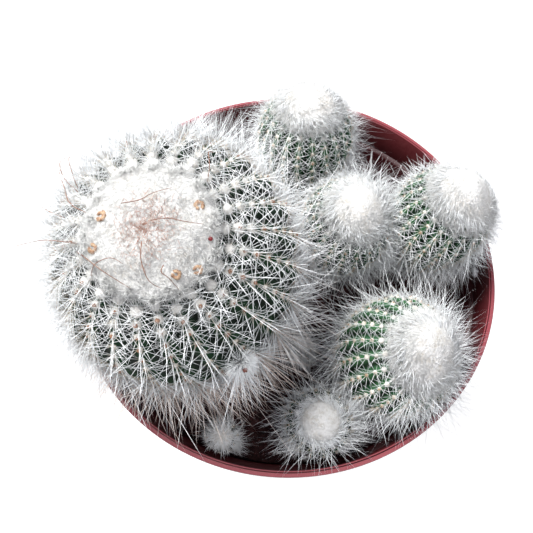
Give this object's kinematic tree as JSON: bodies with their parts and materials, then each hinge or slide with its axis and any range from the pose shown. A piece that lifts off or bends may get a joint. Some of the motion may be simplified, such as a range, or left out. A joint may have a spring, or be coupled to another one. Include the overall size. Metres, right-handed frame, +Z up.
{
  "type": "potted silver ball cactus",
  "caption": "Clump of ribbed ball cactus stems with white spines and woolly crowns, growing in a round tapered plastic nursery pot with drainage holes.",
  "frame": {"origin": "centre of the pot's flat base", "axes": "+Z up along the pot's axis, -Y towards the viewer of the picture, +X to the viewer's right"},
  "size_m": [0.1347, 0.13, 0.1639],
  "materials": {
    "pot_plastic": "semi-gloss reddish terracotta-coloured plastic",
    "soil_peat": "dark matte peat",
    "stem_skin": "green matte skin under white spines",
    "wool_fibre": "matte white wool"
  },
  "bodies": {
    "root": {"pot": "pot_plastic", "soil": "soil_peat", "stem_main": "stem_skin", "stem_back": "stem_skin", "stem_middle": "stem_skin", "stem_right": "stem_skin", "stem_lower_right": "stem_skin", "stem_bottom": "stem_skin", "stem_small": "stem_skin", "stem_tiny": "stem_skin", "wool_main": "wool_fibre", "wool_back": "wool_fibre", "wool_middle": "wool_fibre", "wool_right": "wool_fibre", "wool_lower_right": "wool_fibre", "wool_bottom": "wool_fibre", "wool_small": "wool_fibre", "wool_tiny": "wool_fibre"}
  },
  "joints": []
}
